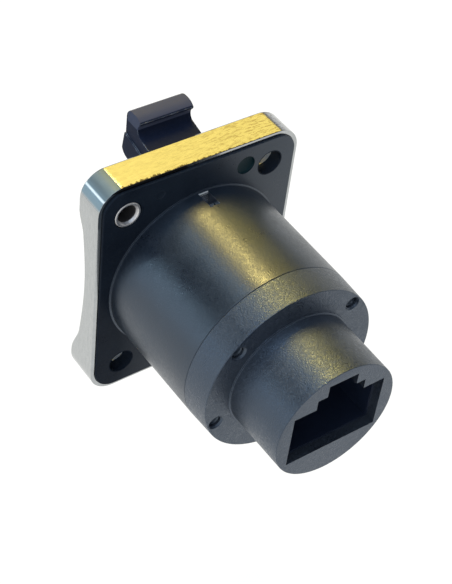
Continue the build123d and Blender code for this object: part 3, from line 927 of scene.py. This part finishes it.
print("stage: rear cap")
cap = {
    "front": 15.5,
    "rear": 19.35,
    "frontRadius": 11.46,
    "rearRadius": 11.3,
    "edge": 0.12,
    "noseRoot": 8.05,
    "noseEnd": 7.95,
    "end": 27.85,
    "noseEdge": 0.1,
    "ring": 8.27,
    "shoulder": 17.6,
    "insertBore": 7.3,
    "wallStart": 26.65,
    "postHole": 0.75,
    "postFlare": 0.22,
    "gap": 0.25,
    "mouthFloor": -3.65,
    "steps": ((5.85, 3.3), (2.95, 4.7), (1.7, 6.3)),
}


def mouthOutline():
    # the stepped socket, widened all round by the gap; each step is (half width, top)
    gap = cap["gap"]
    points = [(cap["steps"][0][0] + gap, cap["mouthFloor"] - gap)]
    for number, (halfWidth, top) in enumerate(cap["steps"]):
        if number:
            points.append((halfWidth + gap, points[-1][1]))
        points.append((halfWidth + gap, top + gap))
    return points + [(-x, z) for x, z in reversed(points)]


def makeCap():
    piece = turnProfile("capBody", roundedProfile([
        (housing["stackBore"], cap["front"], 0.1), (cap["frontRadius"], cap["front"], 0.12),
        (cap["rearRadius"], cap["rear"], cap["edge"]), (cap["ring"], cap["rear"], 0),
        (cap["ring"], cap["rear"] + 0.1, 0.05), (cap["noseRoot"], cap["rear"] + 0.13, 0.05),
        (cap["noseEnd"], cap["end"], cap["noseEdge"]), (0, cap["end"], 0), (0, cap["wallStart"], 0),
        (cap["insertBore"], cap["wallStart"], 0), (cap["insertBore"], cap["shoulder"], 0),
        (housing["stackBore"], cap["shoulder"], 0),
    ]))
    cutAway(piece, addSlab("mouth", mouthOutline(), "y", cap["wallStart"] - 1, cap["end"] + 1))
    hole, flare, rear = cap["postHole"], cap["postFlare"], cap["rear"]
    for x, z in postPlaces():
        cutAway(piece, turnProfile("postHole", [
            (0, 14), (hole, 14), (hole, rear - flare), (hole + flare, rear),
            (hole + flare + 0.1, 21), (0, 21),
        ], 40, x, z))
    smoothPiece(piece, 30)
    return piece


print("stage: latch lever")
# outlines are (depth, height) seen from the side; arcs are (centre depth, centre height, radius)
lever = {
    "pinRadius": 0.64,
    "boss": 1.4,
    "headWidth": 7.3,
    "skirtWidth": 7.7,
    "armWidth": 4.2,
    "top": (-9.57, 17.4),
    "crown": (-9.1, 15.705, 1.695),
    "crownTurn": 47.5,
    "throat": (-7.319, 15.775, 0.981),
    "throatTurn": 57.2,
    "neck": (-5.0, 14.2),
    "stemFoot": (-5.0, 10.9),
    "chin": (
        (-9.85, 10.55), (-10.35, 10.7), (-10.75, 11.0), (-11.0, 11.35), (-11.05, 11.6), (-10.72, 13.8),
    ),
    "brow": (-9.57, 16.25, 1.15),
    "skirtRear": ((-5.2, 12.46), (-5.2, 10.88)),
    "skirtFront": (-10.7, 13.89),
    "arm": (
        (-3.45, 12.7), (-3.45, 9.85), (-2.75, 9.05), (2.6, 9.05), (3.1, 8.6), (4.1, 8.6), (4.4, 9.05),
        (4.4, 9.85), (-1.05, 9.85), (-2.05, 12.0), (-2.05, 12.7),
    ),
}


def arcPoints(centre, turns):
    depth, height, radius = centre
    return [(depth + radius * math.cos(turn), height + radius * math.sin(turn)) for turn in turns]


def headOutline():
    boss = lever["boss"]
    depth, height = leverPin
    quarter = math.pi / 2
    crown, throat = math.radians(lever["crownTurn"]), math.radians(lever["throatTurn"])
    points = [lever["top"]]
    points += arcPoints(lever["crown"], [quarter - crown * step / 6 for step in range(7)])
    points += arcPoints(lever["throat"], [math.pi - throat * (1 - step / 4) for step in range(9)])
    points += [lever["neck"], (depth, height + boss)]
    points += arcPoints((depth, height, boss), [quarter - math.pi * step / 16 for step in range(1, 16)])
    points += [(depth, height - boss), lever["stemFoot"], *lever["chin"]]
    points.append((lever["chin"][-1][0], lever["brow"][1]))
    return points + arcPoints(lever["brow"], [math.pi - quarter * step / 6 for step in range(1, 6)])


def addLeverSlab(name, outline, width, soften, angle):
    slab = addSlab(name, outline, "x", -width / 2, width / 2)
    softenEdges(slab, soften, 2, angle)
    return slab


def makeLever():
    piece = addLeverSlab("leverBody", headOutline(), lever["headWidth"], 0.1, 50)
    skirtLine = (*lever["skirtRear"], *lever["chin"], lever["skirtFront"])
    skirt = addLeverSlab("skirt", skirtLine, lever["skirtWidth"], 0.1, 50)
    arm = addLeverSlab("arm", lever["arm"], lever["armWidth"], 0.08, 40)
    joinTo(piece, skirt, arm)
    bore = addPin("pinBore", lever["pinRadius"], -5, 5, steps=40)
    openMesh(bore)
    bpy.ops.mesh.select_all(action="SELECT")
    bpy.ops.transform.rotate(value=math.pi / 2, orient_axis="Z", center_override=(0, 0, 0))
    bpy.ops.transform.translate(value=(0, leverPin[0] * mm, leverPin[1] * mm))
    closeMesh()
    cutAway(piece, bore)
    smoothPiece(piece, 34)
    return piece


print("stage: rivets")
rivet = {
    "bore": 1.1,
    "tube": 1.3,
    "head": 2.3,
    "headDepth": 1.0,
    "rim": 1.7,
    "rimSeat": -0.34,
    "rimTop": -0.02,
    "rimMouth": 1.36,
    "mouthDepth": -0.5,
}


def makeRivet(name, x, z):
    face = -frontDepth(z)
    bore, tube, rim = rivet["bore"], rivet["tube"], rivet["rim"]
    seat, top = rivet["rimSeat"], rivet["rimTop"]
    piece = turnProfile(name, roundedProfile([
        (bore, face + 0.05, 0.04), (rivet["head"], face + 0.02, 0.08),
        (tube, face + rivet["headDepth"], 0), (tube, seat, 0), (rim, seat, 0), (rim, top, 0.16),
        (rivet["rimMouth"], top, 0.14), (bore, rivet["mouthDepth"], 0.1),
    ], 4), 72, x, z)
    smoothPiece(piece, 40)
    return piece


print("stage: pieces")
dress(makeShell(), satinNickel, "plated_shell", "housing", "front_shell")
dress(makeHousing(), blackHousing, "black_housing", "housing", "rear_housing")
dress(makeCap(), blackCap, "black_cap", "housing", "rear_cap")
dress(makeLever(), blackLever, "black_lever", "latch", "latch_lever")
upperRivet = makeRivet("rivetUpperBody", *rivetPlaces[0])
lowerRivet = makeRivet("rivetLowerBody", *rivetPlaces[1])
dress(upperRivet, rivetPlating, "rivet_plating", "housing", "rivet_upper")
dress(lowerRivet, rivetPlating, "rivet_plating", "housing", "rivet_lower")

print("stage: carried nodes")
carried = {
    "front_jack_body": blackInsert,
    "rear_jack_body": blackInsert,
    "front_comb": combPlastic,
    "rear_comb": combPlastic,
    "link_board": boardResin,
    "latch_pin": springSteel,
    "latch_spring": springSteel,
}
for name, node in nodes.items():
    if node.hide_render:
        continue
    choice = goldPlate if "contact" in name else carried[name]
    for number in range(max(1, len(node.material_slots))):
        if not node.material_slots:
            node.data.materials.append(choice)
        node.material_slots[number].material = choice
